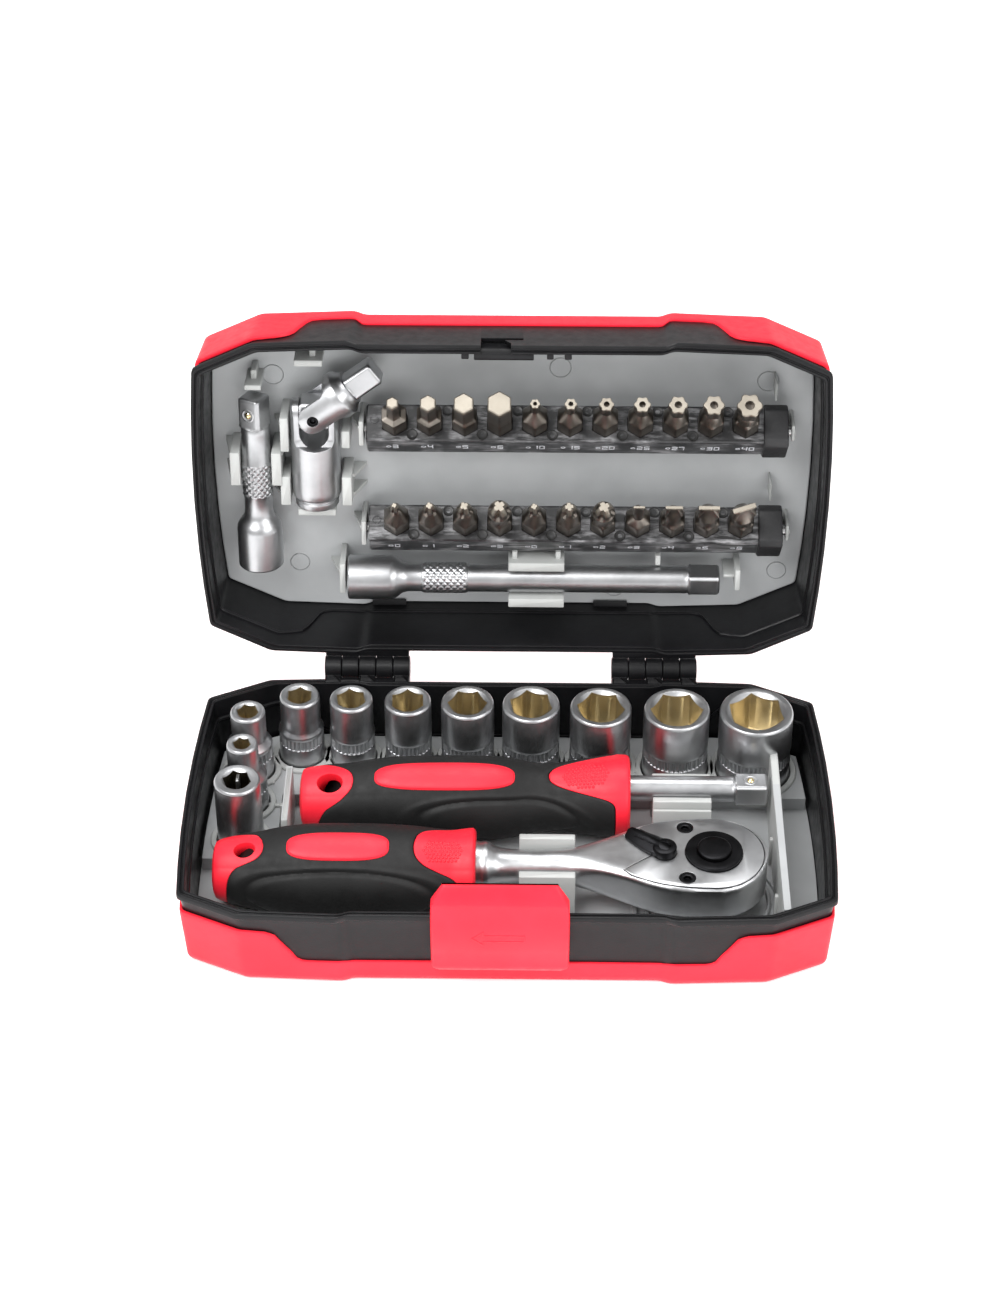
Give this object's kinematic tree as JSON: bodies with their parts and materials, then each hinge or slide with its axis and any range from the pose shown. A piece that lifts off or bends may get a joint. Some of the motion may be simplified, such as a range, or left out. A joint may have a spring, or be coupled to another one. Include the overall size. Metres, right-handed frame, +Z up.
{
  "type": "socket wrench set in case",
  "caption": "Hinged plastic case with a ratchet, screwdriver handle, sockets, extensions, universal joint and two folding rails of screwdriver bits.",
  "frame": {"origin": "centre of the underside of the base", "axes": "+X to the right along the case, +Y to the back where the hinges are, +Z up; the lid stands open"},
  "size_m": [0.1656, 0.1349, 0.12],
  "materials": {
    "case_black": "fine-textured black plastic",
    "case_red": "smooth red plastic",
    "tray_grey": "satin grey plastic",
    "plain_steel": "plain steel",
    "rail_black": "scuffed semi-gloss black plastic",
    "bit_steel": "dark phosphated steel",
    "satin_chrome": "satin chrome plate",
    "black_steel": "black oxide steel",
    "grip_red": "red moulded plastic",
    "grip_black": "matt black rubber",
    "ball_brass": "polished detent ball"
  },
  "bodies": {
    "base": {"base_shell": "case_black", "base_cover": "case_red", "base_tray": "tray_grey", "hinge_pins": "plain_steel"},
    "lid": {"lid_shell": "case_black", "lid_cover": "case_red", "lid_tray": "tray_grey", "rail_pins": "plain_steel"},
    "latch_plate": {"latch": "case_red"},
    "upper_rail": {"bit_rail_upper": "rail_black", "hex_bits": "bit_steel", "star_bits": "bit_steel"},
    "lower_rail": {"bit_rail_lower": "rail_black", "cross_bits": "bit_steel", "fine_cross_bits": "bit_steel", "slotted_bits": "bit_steel"},
    "size_13": {"socket_13": "satin_chrome"},
    "size_12": {"socket_12": "satin_chrome"},
    "size_11": {"socket_11": "satin_chrome"},
    "size_10": {"socket_10": "satin_chrome"},
    "size_9": {"socket_9": "satin_chrome"},
    "size_8": {"socket_8": "satin_chrome"},
    "size_7": {"socket_7": "satin_chrome"},
    "size_6": {"socket_6": "satin_chrome"},
    "size_5": {"socket_5": "satin_chrome"},
    "size_4": {"socket_4": "satin_chrome"},
    "adapter": {"bit_adapter": "satin_chrome", "adapter_clip": "plain_steel"},
    "ratchet": {"ratchet_body": "satin_chrome", "ratchet_cover": "satin_chrome", "cover_screws": "plain_steel", "ratchet_grip_core": "grip_red", "ratchet_grip_sleeve": "grip_black"},
    "ratchet_lever": {"reversing_lever": "black_steel", "lever_plunger": "plain_steel", "lever_spring": "plain_steel"},
    "ratchet_pawl": {"pawl": "plain_steel"},
    "ratchet_drive": {"drive_gear": "black_steel", "drive_ball": "ball_brass", "gear_ring": "black_steel", "button_spring": "plain_steel"},
    "ratchet_button": {"release_button": "black_steel"},
    "driver": {"driver_shaft": "satin_chrome", "driver_ball": "ball_brass", "driver_grip_core": "grip_red", "driver_grip_sleeve": "grip_black"},
    "short_extension": {"extension_50": "satin_chrome", "extension_50_ball": "ball_brass"},
    "long_extension": {"extension_100": "satin_chrome", "extension_100_ball": "ball_brass"},
    "universal_socket": {"joint_socket_yoke": "satin_chrome"},
    "universal_centre": {"joint_cross": "satin_chrome", "joint_pins": "plain_steel"},
    "universal_drive": {"joint_drive_yoke": "satin_chrome", "joint_ball": "ball_brass"}
  },
  "joints": [
    {"name": "lid_hinge", "type": "hinge", "parent": "base", "child": "lid", "pos_m": [0, 0.05075, 0.02433], "axis": [-1, 0, 0], "range_deg": [-97.5, 0]},
    {"name": "latch_slide", "type": "slide", "parent": "base", "child": "latch_plate", "axis": [1, 0, 0], "range_m": [0, 0.005]},
    {"name": "upper_rail_fold", "type": "hinge", "parent": "lid", "child": "upper_rail", "pos_m": [0, 0.07144, 0.08828], "axis": [1, 0, 0], "range_deg": [-45, 0]},
    {"name": "lower_rail_fold", "type": "hinge", "parent": "lid", "child": "lower_rail", "pos_m": [0, 0.06757, 0.05883], "axis": [1, 0, 0], "range_deg": [-45, 0]},
    {"name": "socket_13_lift", "type": "slide", "parent": "base", "child": "size_13", "axis": [0, 0, 1], "range_m": [0, 0.15]},
    {"name": "socket_12_lift", "type": "slide", "parent": "base", "child": "size_12", "axis": [0, 0, 1], "range_m": [0, 0.15]},
    {"name": "socket_11_lift", "type": "slide", "parent": "base", "child": "size_11", "axis": [0, 0, 1], "range_m": [0, 0.15]},
    {"name": "socket_10_lift", "type": "slide", "parent": "base", "child": "size_10", "axis": [0, 0, 1], "range_m": [0, 0.15]},
    {"name": "socket_9_lift", "type": "slide", "parent": "base", "child": "size_9", "axis": [0, 0, 1], "range_m": [0, 0.15]},
    {"name": "socket_8_lift", "type": "slide", "parent": "base", "child": "size_8", "axis": [0, 0, 1], "range_m": [0, 0.15]},
    {"name": "socket_7_lift", "type": "slide", "parent": "base", "child": "size_7", "axis": [0, 0, 1], "range_m": [0, 0.15]},
    {"name": "socket_6_lift", "type": "slide", "parent": "base", "child": "size_6", "axis": [0, 0, 1], "range_m": [0, 0.15]},
    {"name": "socket_5_lift", "type": "slide", "parent": "base", "child": "size_5", "axis": [0, 0, 1], "range_m": [0, 0.15]},
    {"name": "socket_4_lift", "type": "slide", "parent": "base", "child": "size_4", "axis": [0, 0, 1], "range_m": [0, 0.15]},
    {"name": "adapter_lift", "type": "slide", "parent": "base", "child": "adapter", "axis": [0, 0, 1], "range_m": [0, 0.15]},
    {"name": "ratchet_lift", "type": "slide", "parent": "base", "child": "ratchet", "axis": [0, 0, 1], "range_m": [0, 0.15]},
    {"name": "lever_turn", "type": "hinge", "parent": "ratchet", "child": "ratchet_lever", "pos_m": [0.0396, -0.01745, 0.02075], "axis": [0, 0, 1], "range_deg": [0, 70]},
    {"name": "pawl_rock", "type": "hinge", "parent": "ratchet", "child": "ratchet_pawl", "pos_m": [0.043, -0.01745, 0.0155], "axis": [0, 0, 1], "range_deg": [0, 16.5]},
    {"name": "drive_spin", "type": "hinge", "parent": "ratchet", "child": "ratchet_drive", "pos_m": [0.052, -0.01745, 0.0155], "axis": [0, 0, 1], "continuous": true},
    {"name": "button_press", "type": "slide", "parent": "ratchet_drive", "child": "ratchet_button", "axis": [0, 0, 1], "range_m": [-0.0012, 0], "stiffness_N_per_m": 400, "deforming": ["button_spring"]},
    {"name": "driver_lift", "type": "slide", "parent": "base", "child": "driver", "axis": [0, 0, 1], "range_m": [0, 0.15]},
    {"name": "short_extension_lift", "type": "slide", "parent": "lid", "child": "short_extension", "axis": [0, -0.9914, 0.1305], "range_m": [0, 0.045]},
    {"name": "long_extension_lift", "type": "slide", "parent": "lid", "child": "long_extension", "axis": [0, -0.9914, 0.1305], "range_m": [0, 0.045]},
    {"name": "universal_lift", "type": "slide", "parent": "lid", "child": "universal_socket", "axis": [0, -0.9914, 0.1305], "range_m": [0, 0.045]},
    {"name": "universal_cross_turn", "type": "hinge", "parent": "universal_socket", "child": "universal_centre", "pos_m": [-0.0515, 0.0716, 0.0933], "axis": [1, 0, 0], "range_deg": [0, 12]},
    {"name": "universal_drive_turn", "type": "hinge", "parent": "universal_centre", "child": "universal_drive", "pos_m": [-0.0515, 0.0716, 0.0933], "axis": [0, -0.9914, 0.1305], "range_deg": [0, 25]}
  ],
  "couplings": [
    {"joint": "upper_rail_fold", "follows": "lid_hinge", "ratio": 0.46},
    {"joint": "lower_rail_fold", "follows": "lid_hinge", "ratio": 0.46},
    {"joint": "pawl_rock", "follows": "lever_turn", "ratio": 0.23}
  ]
}
